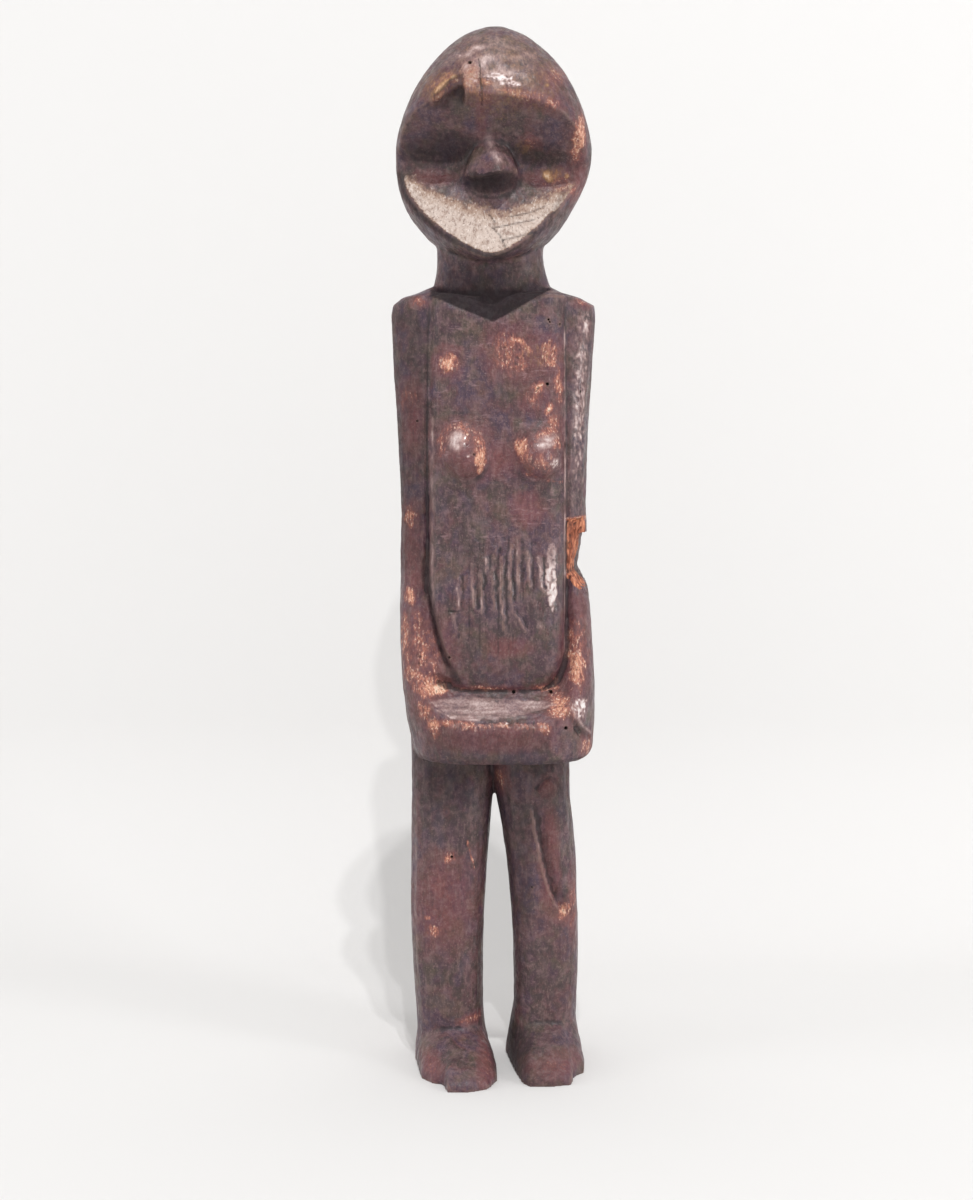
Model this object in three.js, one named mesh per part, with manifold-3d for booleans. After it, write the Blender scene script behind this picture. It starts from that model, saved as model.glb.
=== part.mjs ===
// A standing ancestor figure, carved from one billet of dark wood: an egg-shaped head whose face is a deep
// hollow with a stub nose, a round neck, a board-like trunk framed by both arms, two thick legs and blunt feet.
// Millimetres, +Z up, the face looking along -Y. The origin is on the ground, in the middle of the figure.

import * as THREE from "three";
import { ConvexGeometry } from "three/addons/geometries/ConvexGeometry.js";
import { mergeVertices } from "three/addons/utils/BufferGeometryUtils.js";
import Module from "manifold-3d";

const wasm = await Module();
wasm.setup();

// Heights above the ground
const CROWN = 640;
const WIDEST_HEAD = 561;
const CHIN = 499;
const SHOULDER = 484;
const HEM = 197;

// The legs and the trunk are drawn round an axis that stands this far behind the middle of the footprint
const AXIS = 12.5;

// Head: half width, and how far its front and back stand from the axis
const HEAD_HALF = 60;
const BROW_FRONT = -49;
const CHIN_FRONT = -45.5;
const HEAD_BACK = 46;

// Face hollow: an upper and a lower plane that meet in a crease, which runs a little askew
const CREASE = { left: [-64, -6, 558], right: [55.5, -13, 553], up: 0.9, down: 0.6 };
// Stub nose: its top, the tip, its two lower corners and the foot below them
const NOSE = {
  top: [-1.5, -28, 573],
  tip: [4, -35, 553],
  corners: [[-18, -21, 552], [15.5, -22, 551]],
  foot: [[-17.5, -17, 544.5], [-8, -21, 538.5], [2.5, -22, 537], [10.5, -20.5, 540.5], [15, -17.5, 547]],
};

// Trunk panel: a raised board between the arms, with a rounded corner at the lower left and right
const PANEL = {
  bottom: 241,
  top: 478.5,
  left: { x: -40.5, across: 17, high: 31 },
  right: { x: 45, across: 12.5, high: 22 },
};
// The board is cut back round the panel: how far its slope leads out for each unit it comes forward
const POCKET = { floor: -27, lowFloor: -33, left: 0.5, right: 1.2, low: 0.85 };
const COLLAR = { x: 2.5, z: 462, front: -35.5, rise: 0.52, steep: 1.33 };
const BREASTS = [
  { x: -18.5, z: 384, wide: 15, high: 17, out: 9 },
  { x: 28.5, z: 384, wide: 14.5, high: 16, out: 8.5 },
];
// What is broken off the right arm: a flake off its front below a crack, and a bite out of its side
const BROKEN_OFF = [
  [
    [44, -70, 343], [44, -26.5, 343], [64, -18, 343], [64, -70, 343],
    [44, -70, 311], [44, -25, 311], [64, -13, 306], [64, -70, 306],
  ],
  [
    [44.7, -70, 335], [57.8, 20, 335], [76, 20, 335], [76, -70, 335],
    [40.2, -70, 312], [53.3, 20, 312], [76, 20, 282], [76, -70, 282],
  ],
];

// Stations up the trunk: height, left and right edge, front of the arms and hem, back
const TRUNK = [
  [197, -47, 58, -53.5, 32],
  [199, -48.6, 60.6, -55, 34],
  [203, -50, 62.2, -56, 35.5],
  [222, -54, 63.2, -56.5, 37],
  [243, -56.2, 62.9, -51, 37],
  [265, -57.2, 61.7, -43.5, 35],
  [287, -57.6, 60.4, -37, 32],
  [303, -57, 59, -33.5, 30.5],
  [347, -56.5, 57.1, -31, 30],
  [392, -58, 58, -30, 32],
  [436, -60.7, 60.4, -29.5, 31.5],
  [466, -62.1, 62.6, -28, 28],
  [472.5, -60.8, 61.8, -28, 26.5],
  [477, -55.5, 53.5, -27.5, 25],
  [480.5, -44, 41.5, -27, 24],
  [484, -36, 34.5, -25, 22],
];
// Stations up the panel: height, front
const BELLY = [
  [241, -37], [250, -40.5], [265, -44], [281, -46], [295, -46], [310, -44], [330, -41], [350, -39],
  [392, -37], [436, -36], [466, -35.5], [480, -35],
];
// Stations up the neck: height, centre, half width, front, back
const NECK = [
  [455, 0, 37, -25, 25],
  [484, -0.7, 36, -23, 25],
  [492, -1.3, 33.3, -24.5, 26],
  [504, -2, 32.2, -26, 27],
  [522, -2, 33, -27, 30],
];
// Stations up each leg: height, centre, half width, front, back
const LEGS = {
  left: [
    [18, -26.4, 21.2, -27, 27],
    [36, -27.5, 20.9, -27, 27],
    [76, -28.5, 22.4, -28, 29],
    [106, -28.2, 23.4, -28.5, 30],
    [138, -27, 24.2, -29, 31],
    [168, -25.5, 25, -30, 31.5],
    [182, -25.3, 25.4, -30, 31.5],
    [208, -25.3, 25.8, -30, 31],
  ],
  right: [
    [18, 31.4, 20.6, -27, 27],
    [36, 33.3, 19.4, -27, 27],
    [76, 33.4, 20.2, -28, 29],
    [106, 32.1, 21.3, -28.5, 30],
    [138, 29.7, 21.7, -29, 31],
    [168, 25.6, 22.7, -30, 31.5],
    [182, 23.3, 24.5, -30, 31.5],
    [208, 22.7, 25.3, -30, 31],
  ],
};
// Soles, counterclockwise from the heel, with the step between the toe blocks, and the height of the instep
const FEET = {
  left: {
    instep: 25,
    sole: [
      [-28, 31], [-44, 27], [-48.3, 12], [-49, -8], [-47, -25], [-44, -45], [-37.5, -54], [-30.5, -57],
      [-27.5, -71], [-14, -70], [-3, -65], [2.5, -50], [2.5, -33], [0, -12], [-6, 12], [-12, 27],
    ],
  },
  right: {
    instep: 30,
    sole: [
      [32, 31], [14, 27], [8, 8], [10.5, -11], [14.5, -37], [18, -54], [22, -60], [34, -61],
      [48, -57], [50, -44], [52.5, -39], [56.5, -35], [57.5, -22], [55, -2], [53, 14], [49, 27],
    ],
  },
};
const TOE_HEIGHT = 5;
const ANKLE = { depth: 27, squareness: 3 };

const { clamp, lerp, smoothstep } = THREE.MathUtils;
const vector = ([x, y, z]) => new THREE.Vector3(x, y, z);

// The value in one column of a list of stations, at a height
function along(stations, z, column) {
  const next = stations.findIndex((station) => station[0] >= z);
  if (next === 0) return stations[0][column];
  if (next < 0) return stations[stations.length - 1][column];
  const [low, high] = [stations[next - 1], stations[next]];
  return lerp(low[column], high[column], (z - low[0]) / (high[0] - low[0]));
}

// How far a superellipse reaches along one axis, for a share of the other
const reach = (share, squareness) => Math.pow(1 - Math.pow(Math.abs(share), squareness), 1 / squareness);

// Shares of the half width at which the back of a section is sampled, and shares of the depth that is left
// down each side
const BACK_SHARES = [0.94, 0.8, 0.58, 0.3, 0, -0.3, -0.58, -0.8, -0.94];
const WALL_SHARES = [0.68, 0.35];
const EVEN_SHARES = [-0.95, -0.82, -0.62, -0.4, -0.14, 0.14, 0.4, 0.62, 0.82, 0.95];

// One level ring round a block, counterclockwise from above. The carving rule may push its front back.
function ring(z, section, shares = EVEN_SHARES, carve = (x, height, y) => y) {
  const { x, half, front, back, frontSquare, backSquare } = section;
  const point = (share, depth) => new THREE.Vector3(x + share * half, depth, z);
  const cut = (share, y) => point(share, carve(x + share * half, z, y));
  const wall = (square, depth) =>
    WALL_SHARES.map((g) => g * reach(0.95, square)).map((g) => [reach(g, square), g * depth]);
  const frontWall = wall(frontSquare, front);
  const backWall = wall(backSquare, back);
  return [
    point(1, 0),
    ...backWall.toReversed().map(([f, y]) => point(f, y)),
    ...BACK_SHARES.map((f) => point(f, reach(f, backSquare) * back)),
    ...backWall.map(([f, y]) => point(-f, y)),
    point(-1, 0),
    ...frontWall.toReversed().map(([f, y]) => cut(-f, y)),
    ...shares.map((f) => cut(f, reach(f, frontSquare) * front)),
    ...frontWall.map(([f, y]) => cut(f, y)),
  ];
}

function solidOf(geometry) {
  const merged = mergeVertices(geometry, 1e-4);
  return new wasm.Manifold(
    new wasm.Mesh({
      numProp: 3,
      vertProperties: merged.attributes.position.array,
      triVerts: new Uint32Array(merged.index.array),
    }),
  );
}

function geometryOf(solid) {
  const mesh = solid.getMesh();
  const geometry = new THREE.BufferGeometry();
  geometry.setAttribute("position", new THREE.BufferAttribute(new Float32Array(mesh.vertProperties), 3));
  geometry.setIndex(new THREE.BufferAttribute(new Uint32Array(mesh.triVerts), 1));
  geometry.computeVertexNormals();
  return geometry;
}

// A closed skin over a stack of rings with equal numbers of points, as a solid
function skin(rings) {
  const count = rings[0].length;
  const points = rings.flat();
  for (const end of [rings[0], rings[rings.length - 1]]) {
    points.push(end.reduce((sum, p) => sum.add(p), new THREE.Vector3()).divideScalar(count));
  }
  const faces = [];
  for (let level = 0; level < rings.length - 1; level++) {
    for (let i = 0; i < count; i++) {
      const a = level * count + i;
      const b = level * count + ((i + 1) % count);
      faces.push(a, b, b + count, a, b + count, a + count);
    }
  }
  const last = (rings.length - 1) * count;
  for (let i = 0; i < count; i++) {
    const next = (i + 1) % count;
    faces.push(points.length - 2, next, i, points.length - 1, last + i, last + next);
  }
  const geometry = new THREE.BufferGeometry().setFromPoints(points);
  geometry.setIndex(faces);
  return solidOf(geometry);
}

// A flat-sided block round a handful of corners
function block(corners) {
  const geometry = new ConvexGeometry(corners.map(vector));
  geometry.deleteAttribute("normal");
  return solidOf(geometry);
}

const levels = (from, to, step) =>
  Array.from({ length: Math.ceil((to - from) / step) + 1 }, (_, i) => Math.min(to, from + i * step));

// The head is an egg: its outline narrows more slowly to the crown than to the chin
function egg(z) {
  const above = clamp((z - WIDEST_HEAD) / (CROWN - WIDEST_HEAD), 0, 1);
  const below = clamp((WIDEST_HEAD - z) / (WIDEST_HEAD - CHIN), 0, 1);
  const dome = Math.max(0.06, Math.sqrt(1 - above * above));
  return {
    x: -2.1 + 2.4 * smoothstep(z, 530, 562) + 0.7 * smoothstep(z, 562, 606),
    half: Math.max(3, HEAD_HALF * Math.pow(1 - above ** 1.6, 0.52) * Math.pow(1 - below ** 1.5, 0.405)),
    front: lerp(BROW_FRONT, CHIN_FRONT, below) * dome,
    back: HEAD_BACK * dome * Math.sqrt(1 - 0.98 * below ** 2.2),
    frontSquare: 2.1 + 0.9 * smoothstep(z, 556, 588) * (1 - smoothstep(z, 595, 630)),
    backSquare: 2.2,
  };
}

function head() {
  const heights = [
    CHIN, 500, 502, 506, 512, 519, 527, 536, 546, 556, 566, 576, 585, 593, 600, 607, 614, 621, 627, 632, 636,
    638.5, CROWN,
  ];
  const shares = [-0.95, -0.86, -0.74, -0.6, -0.44, -0.26, -0.09, 0.09, 0.26, 0.44, 0.6, 0.74, 0.86, 0.95];
  const out = 60;
  const hollow = [CREASE.left, CREASE.right].flatMap(([x, y, z]) => [
    [x, y, z],
    [x, y - out, z + out * CREASE.up],
    [x, y - out, z - out / CREASE.down],
  ]);
  const nose = [NOSE.top, NOSE.tip, ...NOSE.corners, ...NOSE.foot];
  const root = nose.map(([x, y, z]) => [x, y + 25, z]);
  return skin(heights.map((z) => ring(z, egg(z), shares)))
    .subtract(block(hollow))
    .add(block([...nose, ...root]));
}

function neck() {
  return skin(
    levels(455, 522, 8).map((z) =>
      ring(z, {
        x: along(NECK, z, 1),
        half: along(NECK, z, 2),
        front: along(NECK, z, 3),
        back: along(NECK, z, 4),
        frontSquare: 2.5,
        backSquare: 2.3,
      }),
    ),
  );
}

// The panel's edge on one side, at a height
function panelEdge({ x, across, high }, z) {
  const t = clamp((PANEL.bottom + high - z) / high, 0, 1);
  return x - Math.sign(x) * across * (1 - Math.sqrt(1 - t * t));
}

// The pocket round the panel: its outline widens forward, so that its wall leads out to the arms and the hem
function pocket() {
  const top = 500;
  const turns = [0, 0.13, 0.26, 0.38, 0.5, 0.62, 0.74, 0.87, 1].map((t) => (t * Math.PI) / 2);
  const corner = ({ x, across, high }) => {
    const side = Math.sign(x);
    return turns.map((t) => ({
      x: x - side * across * (1 - Math.sin(t)),
      z: PANEL.bottom + high * (1 - Math.cos(t)),
      out: [(side * Math.sin(t)) / across, -Math.cos(t) / high],
    }));
  };
  const side = ({ x }, z) => ({ x, z, out: [Math.sign(x), 0] });
  const outline = [
    ...corner(PANEL.right),
    side(PANEL.right, 285),
    side(PANEL.right, 310),
    side(PANEL.right, top),
    side(PANEL.left, top),
    side(PANEL.left, 310),
    side(PANEL.left, 290),
    ...corner(PANEL.left).toReversed(),
  ];
  const ringAt = (front) =>
    outline.map(({ x, z, out }) => {
      const high = smoothstep(z, 250, 300);
      const floor = lerp(POCKET.lowFloor, POCKET.floor, high);
      const y = front ? -66 : floor;
      const wide = lerp(POCKET.low, x < 0 ? POCKET.left : POCKET.right, high) * (floor - y);
      const size = Math.hypot(...out);
      return vector([x + (out[0] / size) * wide, y, z + (out[1] / size) * wide]);
    });
  return skin([ringAt(false), ringAt(true)]);
}

function board() {
  const heights = [
    HEM, 199, 203, 212, 222, 232, 243, 254, 265, 276, 287, 303, 325, 347, 370, 392, 415, 436, 452, 466, 472.5,
    477, 480.5, SHOULDER,
  ];
  const shares = [-0.95, -0.88, -0.8, -0.7, -0.55, -0.3, 0, 0.3, 0.55, 0.7, 0.8, 0.88, 0.95];
  const rings = heights.map((z) => {
    const [left, right] = [along(TRUNK, z, 1), along(TRUNK, z, 2)];
    const section = {
      x: (left + right) / 2,
      half: (right - left) / 2,
      front: along(TRUNK, z, 3),
      back: along(TRUNK, z, 4),
      frontSquare: lerp(3.2, 5, smoothstep(z, 222, 262)),
      backSquare: 3,
    };
    return ring(z, section, shares);
  });
  return skin(rings);
}

// The breasts stand out of the panel and hang a little, so each is fuller below its middle
function carveBreasts(x, z, y) {
  let front = y;
  for (const breast of BREASTS) {
    const [across, up] = [(x - breast.x) / breast.wide, (z - breast.z) / breast.high];
    const inside = 1 - across ** 2 - up ** 2;
    if (inside > 0) front -= breast.out * Math.pow(inside, 0.85) * (1 - 0.4 * up);
  }
  return front;
}

function panel() {
  const heights = [
    PANEL.bottom, 242, 244, 247, 251, 256, 262, 269, 278, 288, 300, 316, 334, 352, 364, 367, 370, 373, 376,
    379, 382, 386, 390, 394, 398, 402, 420, 440, 458, 468, PANEL.top,
  ];
  const shares = [
    -0.95, -0.86, -0.8, -0.74, -0.67, -0.59, -0.51, -0.43, -0.35, -0.27, -0.19, -0.12, 0.02, 0.18, 0.26, 0.34,
    0.42, 0.5, 0.58, 0.66, 0.74, 0.82, 0.88, 0.95,
  ];
  const rings = heights.map((z) => {
    const [left, right] = [panelEdge(PANEL.left, z), panelEdge(PANEL.right, z)];
    const section = {
      x: (left + right) / 2,
      half: (right - left) / 2,
      front: along(BELLY, z, 1),
      back: 8,
      frontSquare: 5.5,
      backSquare: 8,
    };
    return ring(z, section, shares, carveBreasts);
  });
  return skin(rings);
}

// The collar: a bevel on each side of a shallow V, from the face of the panel back and up to the neck
function collar() {
  const [front, back, top] = [-60, -8, 530];
  const plane = (x, y) => COLLAR.z + COLLAR.rise * Math.abs(x - COLLAR.x) + COLLAR.steep * (y - COLLAR.front);
  const halves = [-60, 64].map((side) =>
    block(
      [side, COLLAR.x].flatMap((x) => [
        [x, front, plane(x, front)],
        [x, back, plane(x, back)],
        [x, front, top],
        [x, back, Math.max(top, plane(x, back))],
      ]),
    ),
  );
  return halves[0].add(halves[1]);
}

function leg(stations) {
  return skin(
    levels(stations[0][0], 208, 19).map((z) =>
      ring(z, {
        x: along(stations, z, 1),
        half: along(stations, z, 2),
        front: along(stations, z, 3),
        back: along(stations, z, 4),
        frontSquare: 3.2,
        backSquare: 2.8,
      }),
    ),
  );
}

// A foot: upright at the toes, then sloping back and up to the ankle
function foot({ sole, instep }, stations) {
  const [x, half] = [along(stations, instep, 1), along(stations, instep, 2) - 0.4];
  const ankle = sole.map(([px, py]) => {
    const angle = Math.atan2(py, px - x);
    const [c, s] = [Math.abs(Math.cos(angle)) / half, Math.abs(Math.sin(angle)) / (ANKLE.depth - 0.4)];
    const size = Math.pow(c ** ANKLE.squareness + s ** ANKLE.squareness, -1 / ANKLE.squareness);
    return [x + Math.cos(angle) * size, Math.sin(angle) * size];
  });
  const level = (z, share) =>
    sole.map(([px, py], i) => vector([lerp(px, ankle[i][0], share), lerp(py, ankle[i][1], share), z]));
  return skin([
    level(0, 0),
    level(TOE_HEIGHT, 0.02),
    level(lerp(TOE_HEIGHT, instep, 0.34), 0.28),
    level(lerp(TOE_HEIGHT, instep, 0.68), 0.62),
    level(instep, 1),
    level(instep + 4, 1),
  ]);
}

const arms = BROKEN_OFF.reduce((whole, corners) => whole.subtract(block(corners)), board().subtract(pocket()));
const trunk = arms.add(panel()).subtract(collar());
const billet = [
  head(),
  neck(),
  leg(LEGS.left),
  leg(LEGS.right),
  foot(FEET.left, LEGS.left),
  foot(FEET.right, LEGS.right),
].reduce((whole, piece) => whole.add(piece), trunk);

const wood = new THREE.MeshStandardMaterial({ color: 0x4a3632, roughness: 0.5, metalness: 0 });
const figure = new THREE.Mesh(geometryOf(billet.translate([0, AXIS, 0])), wood);
figure.name = "carved_figure";

const carving = new THREE.Group();
carving.add(figure);

export default carving;
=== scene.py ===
import math

import bpy
import numpy as np
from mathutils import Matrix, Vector, noise


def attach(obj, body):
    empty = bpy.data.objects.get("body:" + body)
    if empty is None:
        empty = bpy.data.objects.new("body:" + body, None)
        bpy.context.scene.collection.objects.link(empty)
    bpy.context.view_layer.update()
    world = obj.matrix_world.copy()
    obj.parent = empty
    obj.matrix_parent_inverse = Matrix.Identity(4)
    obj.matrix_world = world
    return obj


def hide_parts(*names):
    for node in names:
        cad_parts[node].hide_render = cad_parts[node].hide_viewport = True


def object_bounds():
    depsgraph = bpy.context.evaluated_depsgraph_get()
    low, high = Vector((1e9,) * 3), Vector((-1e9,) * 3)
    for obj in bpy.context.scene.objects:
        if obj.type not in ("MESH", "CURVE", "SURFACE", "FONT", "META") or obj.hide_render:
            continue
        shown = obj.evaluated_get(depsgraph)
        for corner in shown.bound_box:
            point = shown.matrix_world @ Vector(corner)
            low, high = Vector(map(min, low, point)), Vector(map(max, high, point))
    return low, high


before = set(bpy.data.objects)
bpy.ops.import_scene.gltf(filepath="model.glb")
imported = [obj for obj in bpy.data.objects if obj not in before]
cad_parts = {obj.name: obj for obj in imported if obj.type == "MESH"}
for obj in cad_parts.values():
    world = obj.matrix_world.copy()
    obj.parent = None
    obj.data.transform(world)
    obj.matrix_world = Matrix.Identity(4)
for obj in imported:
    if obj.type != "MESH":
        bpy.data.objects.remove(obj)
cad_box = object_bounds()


# The billet: the whole figure is one block of dark hardwood, roughed out with an adze. The solid's own surface is
# copied and merged, and a few last cuts are made in it with the knife before the skin is drawn over it.

def alone(thing):
    """Nothing is selected but this one, and it is the one being worked on"""
    bpy.ops.object.select_all(action="DESELECT")
    thing.select_set(True)
    bpy.context.view_layer.objects.active = thing


def edit_all(thing):
    """Goes to edit mode on this one, with all of it selected"""
    alone(thing)
    bpy.ops.object.mode_set(mode="EDIT")
    bpy.ops.mesh.select_all(action="SELECT")


def new_object(name, data):
    """Puts a new object into the scene"""
    made = bpy.data.objects.new(name, data)
    bpy.context.scene.collection.objects.link(made)
    return made


def apply_to(thing, kind, **settings):
    """Puts one modifier on a piece, sets it and applies it"""
    modifier = thing.modifiers.new(kind.title(), kind)
    for name, value in settings.items():
        setattr(modifier, name, value)
    alone(thing)
    bpy.ops.object.modifier_apply(modifier=modifier.name)


figure = new_object("carved_wood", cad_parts["carved_figure"].data.copy())
edit_all(figure)
bpy.ops.mesh.remove_doubles(threshold=1e-6)
bpy.ops.object.mode_set(mode="OBJECT")
# sizes are written in mm, and Blender counts in metres
MM = 1000


def mend():
    """Closes the slivers that a cut can leave along its edges"""
    edit_all(figure)
    bpy.ops.mesh.remove_doubles(threshold=2e-5)
    bpy.ops.mesh.dissolve_degenerate(threshold=1e-5)
    bpy.ops.mesh.select_all(action="SELECT")
    bpy.ops.mesh.fill_holes(sides=0)
    bpy.ops.object.mode_set(mode="OBJECT")


def knife_cut(place, size, turn):
    """Takes a scoop of wood away: an oval of half sizes in mm, turned by degrees, its middle at place"""
    bpy.ops.object.select_all(action="DESELECT")
    bpy.ops.mesh.primitive_uv_sphere_add(segments=28, ring_count=14, radius=1 / MM)
    scoop = bpy.context.object
    scoop.scale = size
    scoop.rotation_euler = [math.radians(a) for a in turn]
    scoop.location = [v / MM for v in place]
    bpy.ops.object.transform_apply(location=True, rotation=True, scale=True)
    apply_to(figure, "BOOLEAN", object=scoop, operation="DIFFERENCE", solver="EXACT")
    mend()
    bpy.data.objects.remove(scoop)


def flat_block(corners, operation):
    """Takes a flat-sided block of wood away, or leaves it standing: its corners in mm"""
    block = new_object("block", bpy.data.meshes.new("block"))
    block.data.from_pydata([[v / MM for v in corner] for corner in corners], [], [])
    edit_all(block)
    bpy.ops.mesh.convex_hull()
    bpy.ops.object.mode_set(mode="OBJECT")
    apply_to(figure, "BOOLEAN", object=block, operation=operation, solver="EXACT")
    mend()
    bpy.data.objects.remove(block)


# the hollow of the face is cut up to the brow's edge, the nose is left standing below it, and the edge has a chip
ABOVE_ROOF = [
    (-64, -53.5, 558), (55.5, -60.5, 553), (55.5, -0.5, 553), (-64, 6.5, 558),
    (-64, -53.5, 624.9), (55.5, -60.5, 619.9), (55.5, -0.9, 553.4), (-64, 6.1, 558.4),
]
NOSE = [
    (-2, -8, 574.5), (-2, 10, 574.5), (4, -25.5, 549), (-18, -10.5, 548), (15.5, -12, 550.5), (-12.5, -10.5, 564),
    (10, -11.5, 563.5), (-17, 10, 550), (15, 10, 551), (-8, -21.5, 546.5),
]
BROW_CHIP = [
    (-36, -48, 592.5), (-24, -48, 603.5), (-17, -48, 605.5), (-16.5, -48, 588), (-36, -48, 586),
    (-34, -24, 588.5), (-23, -24, 597), (-17, -24, 598.5), (-16.5, -24, 584), (-34, -24, 584),
]
flat_block(ABOVE_ROOF, "DIFFERENCE")
flat_block(NOSE, "UNION")
flat_block(BROW_CHIP, "DIFFERENCE")
# the collar: two flat slopes that fall from the neck to the board and meet in a V
COLLAR = [
    [(0, -27.2, 457.1), (-41, -27.2, 470.8), (0, -11.3, 477), (-41, -19.5, 480.5)],
    [(0, -27.2, 457.1), (36, -27.2, 475.1), (0, -11.3, 477), (36, -21.5, 482.2)],
]
CLEAR_OF_CHEST = 30
for slope in COLLAR:
    flat_block(slope + [(cx, cy - CLEAR_OF_CHEST, cz) for cx, cy, cz in slope], "DIFFERENCE")
# the shelf between the collar and the foot of the neck: four blocks that overlap a little, so no sliver stays
SHELF = [
    [(0, -11.3, 477), (-21, -9.3, 478.8)], [(-21, -9.3, 478.8), (-36, 1, 480.1)],
    [(0, -11.3, 477), (19, -9, 479.5)], [(19, -9, 479.5), (34, 1, 481.4)],
]
SHELF_TOP, SHELF_FRONT, OVERLAP = 496, -50, 0.6
for (ax, ay, az), (bx, by, bz) in SHELF:
    over = OVERLAP if bx > ax else -OVERLAP
    front_y = SHELF_FRONT + az / 50
    near = [(ax - over, ay, az), (bx, by, bz), (ax - over, front_y, az), (bx, front_y, bz)]
    flat_block(near + [(cx, cy, SHELF_TOP + az / 300) for cx, cy, cz in near], "DIFFERENCE")
# a chop across the hem's right corner, and a cut beside the right foot's toes
knife_cut((55, -34.5, 214), (2.0, 7.5, 17), (0, -38, 30))
knife_cut((50.6, -35.5, 3), (1.3, 5.5, 5.5), (0, 0, 20))


def rub_down(rounds):
    """Smooths the whole surface, more with each round"""
    apply_to(figure, "SMOOTH", factor=0.5, iterations=rounds)


# a fine even skin is drawn over the cut block; its step is in metres
SKIN_STEP = 0.00125
apply_to(figure, "REMESH", mode="VOXEL", voxel_size=SKIN_STEP, use_smooth_shade=True)
rub_down(3)


# The carved skin: the maker left shallow tool marks everywhere, longest on the legs and the back, and handling has
# softened them. Each mark moves the skin in or out by parts of a millimetre, measured in mm from the surface.

def points_of(field="co"):
    """One row of x, y, z for each point of the figure: its place in mm, or the way it faces"""
    values = np.empty(len(figure.data.vertices) * 3, np.float32)
    figure.data.vertices.foreach_get(field, values)
    return values.reshape(-1, 3).astype(float) * (MM if field == "co" else 1)


def survey():
    """Where each point is, the way it faces, and its x, y and z each as a row"""
    place = points_of()
    return place, points_of("normal"), *place.T


def move_to(place):
    """Moves each point of the figure to its new place"""
    figure.data.vertices.foreach_set("co", (place / MM).astype(np.float32).ravel())
    figure.data.update()


def carve(depth):
    """Cuts this many mm into the wood at each point, or builds it up where it is negative"""
    move_to(points_of() - points_of("normal") * depth[:, None])


def most(*layers):
    """The highest of these values at each point"""
    return np.maximum.reduce(layers)


def cloud(place, size, seed):
    """Soft noise between about -1 and 1, with lumps of this size in mm along x, y and z"""
    return np.array([noise.noise(p) for p in (place / np.array(size) + 13.7 * seed).tolist()])


def scallops(place, size, seed):
    """Hollows left by single strokes: 0 in the middle of each and near 1 on the ridges between them"""
    rows = (place / np.array(size) + 7.3 * seed).tolist()
    return np.minimum(np.array([noise.voronoi(p)[0][0] for p in rows]) ** 2 * 1.6, 1.2)


def step(value, low, high):
    """Goes smoothly from 0 at low to 1 at high"""
    t = np.clip((value - low) / (high - low), 0, 1)
    return t * t * (3 - 2 * t)


def window(value, low, high, soft):
    """1 between low and high, falling smoothly to 0 over soft on each side"""
    return step(value, low - soft, low) * (1 - step(value, high, high + soft))


def oval(place, middle, half, turn=0):
    """1 in the middle of an oval seen from the front, given by x and z in mm, and 0 outside it"""
    c, s = math.cos(math.radians(turn)), math.sin(math.radians(turn))
    across, up = place[:, 0] - middle[0], place[:, 2] - middle[1]
    u, v = (across * c + up * s) / half[0], (up * c - across * s) / half[1]
    return np.clip(1 - u * u - v * v, 0, 1)


def along_line(place, corners, wide):
    """1 on a line through these x and z, seen from the front, and 0 from wide away"""
    near = np.full(len(place), 1e9)
    flat = place[:, [0, 2]]
    for a, b in zip(corners, corners[1:]):
        a, b = np.array(a, float), np.array(b, float)
        share = np.clip(((flat - a) @ (b - a)) / ((b - a) @ (b - a)), 0, 1)
        near = np.minimum(near, np.linalg.norm(flat - a - share[:, None] * (b - a), axis=1))
    return np.clip(1 - near / wide, 0, 1)


def neighbours():
    """The two points that each edge of the figure joins, and how many edges meet at each point"""
    links = np.empty(len(figure.data.edges) * 2, np.int64)
    figure.data.edges.foreach_get("vertices", links)
    return (*links.reshape(-1, 2).T, np.bincount(links, minlength=len(figure.data.vertices)))


def averaged(values, rounds):
    """Each point takes half of its value from the points next to it, this many times over"""
    one, other, count = neighbours()
    values = np.array(values, float)
    for _ in range(rounds):
        for column in values.T if values.ndim > 1 else [values]:
            total = np.bincount(one, column[other], len(column)) + np.bincount(other, column[one], len(column))
            column[:] = 0.5 * column + 0.5 * total / count
    return values


def soften(where, rounds):
    """Wears the wood round where this is above 0, more for each round"""
    place = points_of()
    place += (averaged(place, rounds) - place) * averaged(where, 4)[:, None]
    move_to(place)


# the neck runs into the collar, the forearms into their ledge and the ankles into the feet without an edge
place, facing, x, y, z = survey()
ahead = step(-y, -30, 10)
neck_foot = window(z, 487, 499, 4) * (1 - step(np.abs(x - 1), 44, 52))
soften(neck_foot, 10)
right_forearm = window(x, 49.5, 62, 1.5) * window(z, 226, 300, 7) * ahead
left_forearm = window(x, -58, -44.5, 1.5) * window(z, 228, 300, 7) * ahead
soften(most(right_forearm, 0.8 * left_forearm), 60)
instep = step(facing[:, 2], 0.1, 0.3) * window(z, 5, 24, 3)
soften(instep, 14)
crease = window(x, -57, 52, 2) * window(z, 550, 561, 3) * step(y, -9, -5) * ahead
soften(crease, 14)

# the egg is round behind and on top: the roughed-out facets go, and what the second smoothing takes off is given
# back, so that its size stays
EGG_ROUNDS = 400
place = points_of()
x, y, z = place.T
egg = step(z, 512, 524) * most(1 - step(-y, -4, 12), step(z, 612, 624))
rub_down(EGG_ROUNDS)
once = points_of()
rub_down(EGG_ROUNDS)
place += (2 * once - points_of() - place) * egg[:, None]
move_to(place)

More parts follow.
